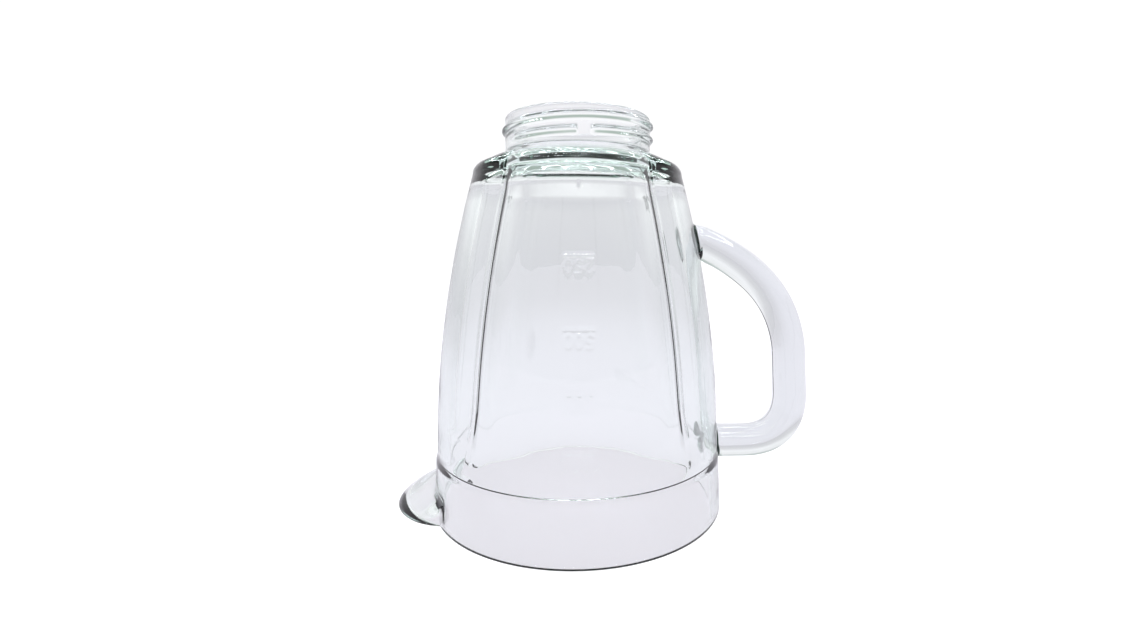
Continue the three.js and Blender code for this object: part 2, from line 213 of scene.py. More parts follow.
# %% Rounds and thicknesses
FOOT_ROUND = 1.1
BAND_STEP = 0.7
STEP_SPAN = 3.6
BAND_TOP_RADIUS = BODY_BASE_RADIUS + BAND_STEP
BAND_WALL = 3.9
NECK_RADIUS = 33.4
NECK_BORE = 29.5
LIP_ROUND = 1.5
LIP_INNER_ROUND = 0.9
SHOULDER_ROUND = 5.5
CORNER_Z = NECK_BASE - 9.5
SHOULDER_SLOPE = 28.0
NECK_FILLET = 1.6
ROOF_ROUND = 8.0
SLOPE_END_DROP = 0.25
BORE_ROUND = 1.6
LEDGE_ROUND = 0.25
LEDGE_DROP = 0.1
NECK_WALL = NECK_RADIUS - NECK_BORE
print(f"walls of {BODY_WALL} mm in the body, {BAND_WALL} in the band, {NECK_WALL:.1f} in the neck")

# %% Points up the wall
FIGURE_BELOW = 7.6
FIGURE_ABOVE = 1.4
FIGURE_FADE = 0.8
FIGURE_CROWDING = 2.2


def wall_points(levels, inset=0.0):
    """Points of the tapered wall at these heights, moved in by inset."""
    return np.stack([wall_radius(levels) - inset, levels], axis=1)


def step_points(count):
    """The small step at the band's top: an S from the band's radius in to the wall's."""
    share = np.linspace(0.0, 1.0, count)
    z = BAND_TOP + STEP_SPAN * (share - 0.5)
    radius = BAND_TOP_RADIUS + (wall_radius(z) - BAND_TOP_RADIUS) * smooth(share)
    return np.stack([radius, z], axis=1)


def wall_levels(count):
    """Heights at equal steps of a summed density, which rises where the raised figures stand."""
    fine_z = np.linspace(BAND_TOP + STEP_SPAN * 0.6, CORNER_Z, 4001)
    density = np.ones_like(fine_z)
    for level in MARKS.values():
        from_below = smooth((fine_z - level + FIGURE_BELOW) / FIGURE_FADE)
        from_above = smooth((level + FIGURE_ABOVE - fine_z) / FIGURE_FADE)
        density += FIGURE_CROWDING * from_below * from_above
    summed_z = np.concatenate([[0.0], np.cumsum(0.5 * (density[1:] + density[:-1]))])
    return np.interp(np.linspace(0.0, summed_z[-1], count), summed_z, fine_z)


WALL_RINGS = 148
gaps = np.diff(wall_levels(WALL_RINGS))
print(f"wall rings {gaps.min():.2f} to {gaps.max():.2f} mm apart")

# %% The outside of the section, from the foot to the lip
band_foot = np.array([FOOT_RADIUS, FOOT_ROUND])
band_head = np.array([BAND_TOP_RADIUS, BAND_TOP - STEP_SPAN / 2])
corner_r = float(wall_radius(CORNER_Z)) - SHOULDER_ROUND
shoulder_end = arc(corner_r, CORNER_Z, SHOULDER_ROUND, 0.0, 90.0 - SHOULDER_SLOPE, 9)
neck_foot = np.array([NECK_RADIUS, NECK_BASE + NECK_FILLET])
slope_end = np.array([NECK_RADIUS + NECK_FILLET, NECK_BASE - SLOPE_END_DROP])
outside = np.concatenate([
    arc(FOOT_RADIUS - FOOT_ROUND, FOOT_ROUND, FOOT_ROUND, -90.0, 0.0, 7),
    line(band_foot, band_head, 15),
    step_points(9),
    wall_points(wall_levels(WALL_RINGS)),
    shoulder_end[1:],
    line(shoulder_end[-1], slope_end, 7),
    arc(NECK_RADIUS + NECK_FILLET, NECK_BASE + NECK_FILLET, NECK_FILLET, 255.0, 180.0, 5),
    line(neck_foot, (NECK_RADIUS, NECK_TOP - LIP_ROUND), 32),
    arc(NECK_RADIUS - LIP_ROUND, NECK_TOP - LIP_ROUND, LIP_ROUND, 0.0, 90.0, 6),
])
print("rings up the outside:", len(outside))

# %% The inside of the section, from the lip down to the foot
roof_r = BODY_TOP_RADIUS - BODY_WALL - ROOF_ROUND
inner_base = BODY_BASE_RADIUS - BODY_WALL
band_inner_top = BAND_TOP_RADIUS - BAND_WALL
foot_inner = FOOT_RADIUS - BAND_WALL
bore_edge = NECK_BORE + BORE_ROUND
inner_top = ROOF_Z - ROOF_ROUND - 1.5  # a little below the end of the roof's round
inside = np.concatenate([
    arc(NECK_BORE + LIP_INNER_ROUND, NECK_TOP - LIP_INNER_ROUND, LIP_INNER_ROUND, 90.0, 180.0, 4),
    line((NECK_BORE, NECK_TOP - LIP_INNER_ROUND), (NECK_BORE, ROOF_Z + BORE_ROUND), 6),
    arc(bore_edge, ROOF_Z + BORE_ROUND, BORE_ROUND, 180.0, 270.0, 5),
    arc(roof_r, ROOF_Z - ROOF_ROUND, ROOF_ROUND, 90.0, 0.0, 10),
    wall_points(np.linspace(inner_top, BAND_TOP + LEDGE_ROUND, 30), BODY_WALL),
    arc(inner_base + LEDGE_ROUND, BAND_TOP + LEDGE_ROUND, LEDGE_ROUND, 180.0, 270.0, 4)[1:],
    line((inner_base + LEDGE_ROUND, BAND_TOP), (band_inner_top, BAND_TOP), 1),
    np.array([[band_inner_top, BAND_TOP - LEDGE_DROP]]),
    line((band_inner_top, BAND_TOP - LEDGE_DROP), (foot_inner, FOOT_ROUND), 14),
    arc(foot_inner + FOOT_ROUND, FOOT_ROUND, FOOT_ROUND, 180.0, 270.0, 5),
])
outline = np.concatenate([outside, inside])
is_outside = np.arange(len(outline)) < len(outside)
print("rings in all:", len(outline))

# %% [markdown]
# ## What pulls the rings off the round
# The lobes and grooves die away across the shoulder, because the neck is round. The spout is
# the band pushed out over a little more than a seventh of the way round, by an amount that
# grows towards the foot along a power curve. The inside is pushed by the same curve, taken a
# glass's thickness higher, so that the spout's wall keeps about its thickness.

# %% How much of each shape a ring takes
SPOUT_HEIGHT = 10.4
SPOUT_POWER = 1.9
SPOUT_FALL = 0.8
SPOUT_GLASS = 4.2
SPOUT_HALF_ANGLE = math.radians(27.0)
SPOUT_PRESS = -SPOUT_TIP - FOOT_RADIUS

ring_r = outline[:, 0]
ring_z = outline[:, 1]
inset = np.where(is_outside, 0.0, BODY_WALL)
neck_r = np.where(is_outside, NECK_RADIUS, NECK_BORE)
above = smooth((ring_r - neck_r) / (BODY_TOP_RADIUS - inset - neck_r))
lobed = np.where(ring_z > SHOULDER_BASE, above, 1.0)
ring_lobe = np.where(ring_z > SHOULDER_BASE, LOBE_AT_TOP, lobe_offset(ring_z)) * lobed
ring_lobe = np.where(ring_z < BODY_BASE, 0.0, ring_lobe)
ring_groove = groove_depth(ring_z) * lobed
spout_level = ring_z + np.where(is_outside, 0.0, SPOUT_GLASS)
spout_share = np.clip(spout_level / SPOUT_HEIGHT, 0.0, 1.0)
ring_spout = SPOUT_PRESS * (1.0 - spout_share ** SPOUT_POWER) ** SPOUT_FALL
print(f"spout pressed out by {SPOUT_PRESS:.1f} mm, taken by {int((ring_spout > 0).sum())} rings")

# %% [markdown]
# ## Columns where they are needed
# Even columns would waste most of their number on smooth glass. A density is summed round the
# circle instead, high at the grooves, at the front panel with its raised numbers and at the
# spout, and the columns are set at equal steps of that sum.

# %% Angles of the columns
FRONT = -math.pi / 2
SPOUT_ANGLE = math.pi
FACE_LIMIT = 198000  # triangles, two to each cell of the grid
CROWDED_PLACES = (  # middle, rise, half width in degrees, power
    (0.25 * math.pi, 7.0, 1.9, 4),
    (0.75 * math.pi, 7.0, 1.9, 4),
    (1.25 * math.pi, 7.0, 1.9, 4),
    (1.75 * math.pi, 7.0, 1.9, 4),
    (FRONT, 3.2, 8.2, 8),
    (SPOUT_ANGLE, 0.9, 28.0, 6),
    (-FRONT, 1.2, 1.2, 4),
)


def turn_between(angle, centre):
    """Angle from a direction, from minus half a turn to half a turn."""
    return np.mod(angle - centre + math.pi, 2.0 * math.pi) - math.pi


def column_density(angle):
    """One everywhere, plus a bell for each place: its height times e to the minus of a power
    of the turn from its middle, counted in its half widths."""
    density = np.ones_like(angle)
    for centre, rise, half_width_degrees, power in CROWDED_PLACES:
        away = turn_between(angle, centre) / math.radians(half_width_degrees)
        density += rise * np.exp(-(away ** power))
    return density


columns = FACE_LIMIT // (2 * len(outline))
fine = np.linspace(-math.pi, math.pi, 20001)
summed = np.concatenate([[0.0], np.cumsum(column_density(0.5 * (fine[1:] + fine[:-1])))])
theta = np.interp(np.arange(columns) / columns * summed[-1], summed, fine)
apart = np.degrees(np.diff(theta))
print(f"{columns} columns, from {apart.min():.2f} to {apart.max():.2f} degrees apart")

# %% [markdown]
# ## The thread
# The screw finish is a round bead pressed on the neck, falling to the left as it passes the
# front, which is a right-hand thread. It is broken where the two halves of the mould meet.
# As a height on the neck's surface it needs no separate piece: a point's height above the
# neck depends only on how far it is from the bead's centre line.

# %% Height of the thread's bead
THREAD_PITCH = 5.9
THREAD_RISE = 1.45
THREAD_HALF_WIDTH = 2.25
THREAD_START_ANGLE = 40.0
THREAD_START_Z = NECK_TOP - 2.95
THREAD_PARTS = ((0.0, 481.0, 14.0, 1.6), (490.0, 555.0, 1.6, 22.4))  # begin, end, and each fade
THREAD_TURNS = 3


def thread_height(angle, z):
    """Rise times a squared cosine of the distance from the bead's centre line, turn by turn."""
    height = np.zeros(np.broadcast(angle, z).shape)
    for turn in range(THREAD_TURNS):
        travelled = np.mod(THREAD_START_ANGLE - np.degrees(angle), 360.0) + 360.0 * turn
        centre = THREAD_START_Z - THREAD_PITCH * travelled / 360.0
        away = np.clip(np.abs(z - centre) / THREAD_HALF_WIDTH, 0.0, 1.0)
        fade = np.zeros_like(travelled)
        for begin, end, opening, closing in THREAD_PARTS:
            part = smooth((travelled - begin) / opening) * smooth((end - travelled) / closing)
            fade = np.maximum(fade, part)
        height = np.maximum(height, THREAD_RISE * np.cos(away * math.pi / 2) ** 2 * fade)
    return height


neck_levels = np.linspace(NECK_BASE, NECK_TOP, 200)[:, None]
tallest = thread_height(theta[None, :], neck_levels).max()
print(f"the thread stands {tallest:.2f} mm proud of the neck")

# %% [markdown]
# ## The strokes of the numbers
# A number could be cut from a font, but a font's outline has to be joined to the wall. Here
# each figure is a few strokes in a box half as wide as it is high, and the wall itself rises
# near a stroke. A point's rise depends only on its distance from the nearest stroke.

# %% The strokes of the figures
def bow(cx, cy, rx, ry, start, end, count=9):
    """Points on part of an ellipse, from one angle to another in degrees."""
    angle = np.radians(np.linspace(start, end, count))
    return [(cx + rx * math.cos(a), cy + ry * math.sin(a)) for a in angle]


FIGURES = {
    "0": [bow(0.25, 0.5, 0.25, 0.5, 0, 360, 17)],
    "1": [[(0.08, 0.8), (0.28, 1.0), (0.28, 0.0)]],
    "2": [bow(0.25, 0.74, 0.25, 0.26, 170, -35) + [(0.0, 0.0), (0.5, 0.0)]],
    "5": [[(0.46, 1.0), (0.06, 1.0), (0.02, 0.56)] + bow(0.22, 0.32, 0.27, 0.31, 120, -150)],
    "7": [[(0.0, 1.0), (0.5, 1.0), (0.16, 0.0)]],
}
FIGURE_HEIGHT = 5.0
FIGURE_PITCH = 3.9
FIGURE_SHIFT = 0.7
FIGURE_GAP = 1.6
STROKE_HALF = 0.38
STROKE_EDGE = 0.45
RELIEF = 0.28
TICK_LENGTH = 11.0
print("figures drawn:", " ".join(sorted(FIGURES)), "with", sum(map(len, FIGURES.values())), "strokes")

# %% How high the wall rises at a stroke
def distance_to_stroke(across, along, stroke):
    """Least distance from each point to a chain of straight pieces."""
    best = np.full(across.shape, np.inf)
    for (x0, y0), (x1, y1) in zip(stroke[:-1], stroke[1:]):
        dx, dy = x1 - x0, y1 - y0
        share = np.clip(((across - x0) * dx + (along - y0) * dy) / (dx * dx + dy * dy), 0.0, 1.0)
        best = np.minimum(best, np.hypot(across - x0 - share * dx, along - y0 - share * dy))
    return best


def scale_relief(across, z):
    """Height of the raised scale: full within half a stroke of any line, falling off beside it."""
    nearest = np.full(across.shape, np.inf)
    for text, level in MARKS.items():
        up = level - z
        tick = [(-TICK_LENGTH / 2, 0.0), (TICK_LENGTH / 2, 0.0)]
        nearest = np.minimum(nearest, distance_to_stroke(across, up, tick))
        left = -FIGURE_PITCH * len(text) / 2
        for place, figure in enumerate(text):
            for stroke in FIGURES[figure]:
                start = left + place * FIGURE_PITCH + FIGURE_SHIFT
                moved = [(start + x * FIGURE_HEIGHT, FIGURE_GAP + y * FIGURE_HEIGHT) for x, y in stroke]
                nearest = np.minimum(nearest, distance_to_stroke(-across, up, moved))
    return RELIEF * (1.0 - smooth((nearest - STROKE_HALF) / STROKE_EDGE))


at_tick = scale_relief(np.zeros(1), np.array([MARKS["500"]]))
print(f"the wall rises {float(at_tick[0]):.2f} mm at a tick line")

# %% [markdown]
# ## The mould seam
# Where the halves of the mould met, a hair-thin ridge is left down the front and the back. It
# is sharpest just below the shoulder, so it is only made there. As with the numbers, it is a
# rise of the wall itself, so it needs no mesh of its own.

# %% Height of the seam's ridge
SEAM_RISE = 0.28
SEAM_HALF_WIDTH = 0.5
SEAM_BASE, SEAM_TOP = 127.0, 147.0
SEAM_BASE_FADE, SEAM_TOP_FADE = 4.0, 2.0


def seam_height(across, z):
    """A bell across the seam, faded in and out along it by smooth steps of the height."""
    along = smooth((z - SEAM_BASE) / SEAM_BASE_FADE) * smooth((SEAM_TOP - z) / SEAM_TOP_FADE)
    return SEAM_RISE * np.exp(-((across / SEAM_HALF_WIDTH) ** 2)) * along


print(f"the seam stands {SEAM_RISE:.2f} mm proud, from {SEAM_BASE:.0f} to {SEAM_TOP:.0f} mm up")

# %% [markdown]
# ## The jar as one surface
# Everything is now a rule on ring and angle, so the whole jar is one sum: a clover's arc, less
# the grooves, plus the spout, the thread, the numbers and the seam. A sculpted or a joined mesh
# could look the same, but this one has no cracks and follows the solid's sizes.

# %% The jar's whole surface
def jar_radius():
    """Radius of ring and angle: clover arc, less the groove, plus spout, thread, scale and seam.
    A back corner is rounded by replacing the turn from it with the long side of a right angled
    triangle, whose short side is the rounding."""
    angle = theta[None, :]
    r = ring_r[:, None]
    z = ring_z[:, None]
    quarter = math.pi / 2
    in_lobe = angle - np.round(angle / quarter) * quarter
    at_back = np.sin(angle) > 0.0
    rounding = np.where(at_back, BACK_CORNER_ROUND, 0.0)
    in_arc = math.pi / 4 - np.hypot(math.pi / 4 - np.abs(in_lobe), rounding)
    lobe = ring_lobe[:, None]
    sideways = lobe * np.sin(in_arc)
    forward = np.sqrt(np.clip((r - lobe) ** 2 - sideways ** 2, 0.0, None))
    radius = lobe * np.cos(in_arc) + forward
    from_corner = (math.pi / 4 - np.abs(in_lobe)) * r
    crease = np.where(is_outside, CREASE_HALF_WIDTH, RIB_HALF_WIDTH)[:, None]
    crease_share = np.where(at_back, 0.0, CREASE_SHARE)
    radius = radius - ring_groove[:, None] * groove_section(from_corner, crease, crease_share)
    from_spout = np.clip(np.abs(turn_between(angle, SPOUT_ANGLE)) / SPOUT_HALF_ANGLE, 0.0, 1.0)
    radius = radius + ring_spout[:, None] * (1.0 - from_spout ** SPOUT_POWER) ** SPOUT_FALL
    return radius + raised_details(angle, r, z)


def placed(radius):
    """In metres: x and y are the radius times the cosine and the sine, and z is the ring's."""
    x = AXIS_X + radius * np.cos(theta)
    y = radius * np.sin(theta)
    return np.stack([x, y, ring_z[:, None] + 0.0 * x], axis=-1) * MM


def raised_details(angle, r, z):
    """The thread on the neck, and the numbers and seams on the wall, as heights to add."""
    on_neck = (is_outside & (ring_z > NECK_BASE))[:, None]
    on_wall = (is_outside & (ring_z > BODY_BASE) & (ring_z < CORNER_Z))[:, None]
    across = turn_between(angle, FRONT) * r
    across_back = turn_between(angle, -FRONT) * r
    marks = scale_relief(across + 0.0 * z, z + 0.0 * across)
    seams = seam_height(across, z) + seam_height(across_back, z)
    return np.where(on_neck, thread_height(angle, z), 0.0) + np.where(on_wall, marks + seams, 0.0)


points = placed(jar_radius())
print("grid of the jar:", points.shape)

# %% [markdown]
# ## From a grid to a closed mesh
# The outline closes on itself and so does the circle, so the grid wraps both ways, like the
# skin of a ring. No seam or pole is left to close. Faces are named so that they point out of
# the glass: outwards outside, and into the room inside.

# %% Make a mesh from a grid
def wrapped_faces(rows, cols, close_rows):
    """Four corners of each cell, the next row up and the next column round."""
    row = np.arange(rows if close_rows else rows - 1)[:, None]
    col = np.arange(cols)[None, :]
    up = (row + 1) % rows
    beside = (col + 1) % cols
    corners = [row * cols + col, row * cols + beside, up * cols + beside, up * cols + col]
    return np.stack([corner + 0 * (row + col) for corner in corners], axis=-1).reshape(-1, 4)


print("a ring of 3 by 4 points has", len(wrapped_faces(3, 4, True)), "faces")

# %% Make an object from points and faces
SHARP_FROM = math.radians(40.0)


def mesh_object(name, vertices, faces, material):
    """A smooth-shaded object at the origin, its place in its mesh, riding on the jar."""
    mesh = bpy.data.meshes.new(name)
    mesh.from_pydata(vertices.reshape(-1, 3), [], faces)
    mesh.update()
    mesh.polygons.foreach_set("use_smooth", np.ones(len(mesh.polygons), dtype=bool))
    mesh.set_sharp_from_angle(angle=SHARP_FROM)
    mesh.materials.append(material)
    made = bpy.data.objects.new(name, mesh)
    bpy.context.scene.collection.objects.link(made)
    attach(made, "root")
    print(f"{name}: {len(mesh.vertices)} vertices, {len(mesh.polygons)} faces")
    return made


print(f"edges sharper than {math.degrees(SHARP_FROM):.0f} degrees stay crisp")

# %% [markdown]
# ## The glass
# Soda-lime glass bends light by about 1.5 and takes a little red out of it, which only shows
# where light runs a long way inside: along the shoulder, the foot and the edges. That is a
# property of the inside, so it is a volume and not a surface colour. The surface itself is
# fire-polished: bright, but faintly wavy from the mould, with a few fine rubs.

# %% A node with its values
def new_node(tree, kind, **values):
    """Adds a node and sets its sockets, whose names have underscores in place of spaces."""
    node = tree.nodes.new(kind)
    for key, value in values.items():
        node.inputs[key.replace("_", " ")].default_value = value
    return node


def bare_material(name):
    """A new material with an empty tree of nodes."""
    material = bpy.data.materials.new(name)
    material.use_nodes = True
    material.node_tree.nodes.clear()
    return material


WHITE = (1.0, 1.0, 1.0, 1.0)
print("white, as red, green, blue and opacity:", WHITE)

# %% Nodes of the glass
WAVE_SCALE = 55.0
RIPPLE_SCALE = 260.0
RIPPLE_SHARE = 0.12
RUB_SCALE = 38.0
RUB_ROUGHNESS = 0.03


def glass_material(name, absorbed, density, wave_height):
    """Clear glass with a volume tint, gentle waves in the surface and faint rubs in its gloss."""
    material = bare_material(name)
    tree, links = material.node_tree, material.node_tree.links
    output = new_node(tree, "ShaderNodeOutputMaterial")
    glass = new_node(tree, "ShaderNodeBsdfPrincipled", Base_Color=WHITE, IOR=1.5)
    glass.inputs["Transmission Weight"].default_value = 1.0
    tint = new_node(tree, "ShaderNodeVolumeAbsorption", Color=(*absorbed, 1.0), Density=density)
    place = new_node(tree, "ShaderNodeTexCoord")
    waves = new_node(tree, "ShaderNodeTexNoise", Scale=WAVE_SCALE, Detail=1.0)
    ripple = new_node(tree, "ShaderNodeTexNoise", Scale=RIPPLE_SCALE, Detail=1.0)
    both = new_node(tree, "ShaderNodeMath")
    both.operation = "MULTIPLY_ADD"
    both.inputs[1].default_value = RIPPLE_SHARE
    bump = new_node(tree, "ShaderNodeBump", Strength=1.0, Distance=wave_height)
    rubs = new_node(tree, "ShaderNodeTexNoise", Scale=RUB_SCALE, Detail=4.0)
    gloss = new_node(tree, "ShaderNodeMapRange", From_Min=0.5, From_Max=0.8, To_Max=RUB_ROUGHNESS)
    for texture in (waves, ripple, rubs):
        links.new(place.outputs["Object"], texture.inputs["Vector"])
    links.new(ripple.outputs["Fac"], both.inputs[0])
    links.new(waves.outputs["Fac"], both.inputs[2])
    links.new(both.outputs[0], bump.inputs["Height"])
    links.new(rubs.outputs["Fac"], gloss.inputs["Value"])
    links.new(gloss.outputs["Result"], glass.inputs["Roughness"])
    links.new(bump.outputs["Normal"], glass.inputs["Normal"])
    links.new(glass.outputs["BSDF"], output.inputs["Surface"])
    links.new(tint.outputs["Volume"], output.inputs["Volume"])
    return material


jar_glass = glass_material("jar_glass", (0.68, 0.84, 0.77), 26.0, 0.00008)
handle_glass = glass_material("handle_glass", (0.66, 0.74, 0.72), 26.0, 0.00022)
# painted shade: the collars' glass absorbs dark green at a density far above the jar's, painting the
# dark shade of the joint creases into it
joint_glass_painted_shade = glass_material("joint_glass_painted_shade", (0.20, 0.42, 0.34), 330.0, 0.0001)
print("glasses:", jar_glass.name, handle_glass.name, joint_glass_painted_shade.name)

# %% Cast the jar
jar_faces = wrapped_faces(len(outline), columns, True).tolist()
jar = mesh_object("jar_glass", points, jar_faces, jar_glass)
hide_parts("threaded_neck", "shoulder", "fluted_body", "rim_band", "pouring_spout")

# %% [markdown]
# ## The handle
# The handle is a solid bar, oval in section, bent in a D. Each end stands on a low pad on the
# wall, and a sharp crease runs round the joint. The bar's centre line is a sloping sweep, a
# leaning grip, a bend and a level foot, joined so that their directions agree. The section is
# carried along it, a little fuller at the bend and at both roots. A curve with a bevel would
# give a round bar too, but not an oval whose size changes and whose ends follow the wall.

# %% The handle's sizes
BAR_LOW, BAR_HIGH = box_mm("handle_bar")
UPPER_LOW, UPPER_HIGH = box_mm("handle_upper_pad")
LOWER_LOW, LOWER_HIGH = box_mm("handle_lower_pad")
BAR_HALF_WIDTH = (BAR_HIGH[1] - BAR_LOW[1]) / 2
BAR_HALF_THICK = 7.8
BEND_SWELL_ROOM = 0.6
ROOT_INSET = 1.0
TOP_Z = (UPPER_LOW[2] + UPPER_HIGH[2]) / 2
FOOT_Z = (LOWER_LOW[2] + LOWER_HIGH[2]) / 2
GRIP_X = BAR_HIGH[0] - BAR_HALF_THICK - BEND_SWELL_ROOM
GRIP_TOP_Z = TOP_Z - 52.6
GRIP_BASE_Z = FOOT_Z + 23.0
TOP_SLOPE = math.radians(-20.0)
GRIP_LEAN = math.radians(4.0)
BEND_LEAN = math.radians(8.0)
TOP_BEND = 28.0
FOOT_BEND = 15.0
print(f"roots at {TOP_Z:.1f} and {FOOT_Z:.1f} mm up, grip {GRIP_X - AXIS_X:.1f} mm from the axis")

# %% The handle's centre line
def bezier(p0, p1, p2, p3, count):
    """Cubic curve: the four points weighted by the terms of ((1 - t) + t) cubed."""
    t = np.linspace(0.0, 1.0, count)[:, None]
    s = 1.0 - t
    return s ** 3 * p0 + 3 * s * s * t * p1 + 3 * s * t * t * p2 + t ** 3 * p3


root_top = np.array([AXIS_X + float(wall_radius(TOP_Z)) - ROOT_INSET, TOP_Z])
slope = np.array([math.cos(TOP_SLOPE), math.sin(TOP_SLOPE)])
down = np.array([math.sin(BEND_LEAN), -math.cos(BEND_LEAN)])
grip_top = np.array([GRIP_X - math.tan(GRIP_LEAN) * (GRIP_TOP_Z - GRIP_BASE_Z), GRIP_TOP_Z])
grip_base = np.array([GRIP_X, GRIP_BASE_Z])
foot_out = np.array([GRIP_X - (GRIP_BASE_Z - FOOT_Z), FOOT_Z])
root_foot = np.array([AXIS_X + BODY_BASE_RADIUS - ROOT_INSET, FOOT_Z])
corner_down = grip_base - np.array([0.0, FOOT_BEND])
corner_out = foot_out + np.array([FOOT_BEND, 0.0])
centre_line = np.concatenate([
    bezier(root_top, root_top + slope * TOP_BEND, grip_top - down * TOP_BEND, grip_top, 80)[:-1],
    line(grip_top, grip_base, 20),
    bezier(grip_base, corner_down, corner_out, foot_out, 60),
    line(foot_out, root_foot, 20),
    root_foot[None, :],
])
steps = np.concatenate([[0.0], np.cumsum(np.hypot(*np.diff(centre_line, axis=0).T))])
print(f"the bar's centre line is {steps[-1]:.0f} mm long")

# %% [markdown]
# The mould's seam runs on along the bar, as a fine ridge on its inner and outer side. The
# points round the oval are drawn together there, so that the ridge has enough of them.

# %% The oval section and its seam
BAR_RINGS = 200
BAR_SIDES = 120
BAR_SEAM_RISE = 0.22
BAR_SEAM_HALF_WIDTH = 0.35
SEAM_CROWDING = 0.44
TANGENT_REACH = 0.4


def section_angles():
    """Even angles plus a share of the sine of twice the angle, which crowds them at the seams."""
    even = np.arange(BAR_SIDES) / BAR_SIDES * 2.0 * math.pi
    return even + SEAM_CROWDING * np.sin(2.0 * even)


SECTION_TURN = section_angles()
seam_away = np.abs(np.cos(SECTION_TURN)) * BAR_HALF_WIDTH
SEAM_LIFT = BAR_SEAM_RISE * np.exp(-((seam_away / BAR_SEAM_HALF_WIDTH) ** 2))
print(f"an oval of {BAR_SIDES} points, {2 * BAR_HALF_WIDTH:.1f} by {2 * BAR_HALF_THICK:.1f} mm")

# %% One oval anywhere along the bar
def along_line(at):
    """The point of the centre line at each distance along it, as x and z."""
    return np.stack([np.interp(at, steps, centre_line[:, k]) for k in (0, 1)])


def bar_ring(at, size, lift):
    """Points of the oval at a distance along the centre line: the centre, plus half the
    thickness times the sine along the normal, plus half the width times the cosine across."""
    x, z = along_line(at)
    ahead = np.minimum(at + TANGENT_REACH, steps[-1])
    behind = np.maximum(at - TANGENT_REACH, 0.0)
    tangent = along_line(ahead) - along_line(behind)
    tangent /= np.linalg.norm(tangent, axis=0)
    lifted = 1.0 + (lift * SEAM_LIFT) / BAR_HALF_THICK
    thick = (BAR_HALF_THICK * size)[:, None] * np.sin(SECTION_TURN) * lifted
    wide = (BAR_HALF_WIDTH * size)[:, None] * np.cos(SECTION_TURN)
    ring_x = x[:, None] - tangent[1][:, None] * thick
    ring_up = z[:, None] + tangent[0][:, None] * thick
    return np.stack([ring_x, wide, ring_up], axis=-1)


halfway = bar_ring(np.array([steps[-1] / 2]), np.array([1.0]), 1.0)[0]
print("the bar half way along, in mm:", np.round(halfway.mean(axis=0), 1).tolist())

# %% [markdown]
# ## Where glass meets glass
# The bar and its collars have to follow the curve of the jar's wall. A boolean cut could do
# that, but it leaves long thin triangles, which show as streaks in glass. Instead each ring of
# points is moved along X until it touches the wall, and then a hair's breadth clear of it.

# %% Seat a ring on the wall
SEATING_ROUNDS = 6
SINE_LIMIT = 0.99


def outside_radius(angle, z):
    """Radius of the jar's outside near the handle: the band, or the clover's arc above it."""
    lobe = np.where(z > BODY_BASE, lobe_offset(z), 0.0)
    above_step = smooth((z - BAND_TOP) / STEP_SPAN + 0.5)
    flare = np.clip((BAND_TOP - z) / BAND_TOP, 0.0, 1.0) * (FOOT_RADIUS - BAND_TOP_RADIUS)
    wall = (BAND_TOP_RADIUS + flare) * (1.0 - above_step) + wall_radius(z) * above_step
    arc_r = wall - lobe
    return lobe * np.cos(angle) + np.sqrt(arc_r ** 2 - (lobe * np.sin(angle)) ** 2)


def seat_on_wall(ring, clear):
    """Moves a ring of points along X to the wall, and then this many millimetres clear of it."""
    y, z = ring[:, 1], ring[:, 2]
    angle = np.arcsin(np.clip(y / BODY_BASE_RADIUS, -SINE_LIMIT, SINE_LIMIT))
    for _ in range(SEATING_ROUNDS):
        radius = outside_radius(angle, z)
        angle = np.arcsin(np.clip(y / radius, -SINE_LIMIT, SINE_LIMIT))
    seated = ring.copy()
    seated[:, 0] = AXIS_X + radius * np.cos(angle) + clear
    return seated


print(f"outside of the wall at the upper root: {float(outside_radius(0.0, TOP_Z)):.1f} mm from the axis")

# %% Close a stack of rings into a solid
LID_SHARES = (0.25, 0.5, 0.75)


def scaled(ring, share):
    """The ring drawn towards its own middle: the middle plus a share of the way out."""
    middle = ring.mean(axis=0)
    return middle + (ring - middle) * share


def closed_stack(rings):
    """Adds to each end three smaller rings and a last flat face, and names all of the faces."""
    first = [scaled(rings[0], share) for share in LID_SHARES]
    last = [scaled(rings[-1], share) for share in reversed(LID_SHARES)]
    stack = np.stack(first + list(rings) + last)
    faces = wrapped_faces(len(stack), BAR_SIDES, False).tolist()
    total = len(stack) * BAR_SIDES
    faces.append(list(range(BAR_SIDES))[::-1])
    faces.append(list(range(total - BAR_SIDES, total)))
    return stack, faces


print("rings added to close a stack:", len(closed_stack([halfway, halfway])[0]) - 2)

# %% [markdown]
# ## The joints
# Where the bar meets the wall, a low collar of glass stands between two creases. It is seen
# edge on, through its whole width, and its glass is given a dense, dark green absorption that
# paints the dark shade of those creases into it, so it looks nearly black. Each collar is a short
# stack of ovals a little larger than the bar, seated on the wall, with a rounded edge. A thin gap
# of air is left on each side, because two faces of glass in the same place confuse the light.

# %% Make the two collars
UPPER_MARGIN = 1.07
LOWER_MARGIN = 1.05
UPPER_RISE = 1.0
LOWER_RISE = 1.1
AIR_GAP = 0.10
ROOT_AT = 1.0
COLLAR_LAYERS = ((0.0, 0.985), (0.2, 1.0), (0.5, 1.006), (0.8, 0.998), (1.0, 0.975))  # rise, size


def collar(at, rise, margin, name, node):
    """A low disc that follows the wall: five ovals from wall to bar, the outer ones smaller."""
    base = bar_ring(np.array([at]), np.array([margin]), 0.0)[0]
    layers = [seat_on_wall(scaled(base, size), AIR_GAP + rise * share) for share, size in COLLAR_LAYERS]
    stack, faces = closed_stack(layers if at < steps[-1] / 2 else layers[::-1])
    # painted shade: each collar gets the dark glass that paints the shade of the creases
    made = mesh_object(name, stack * MM, faces, joint_glass_painted_shade)
    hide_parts(node)
    return made


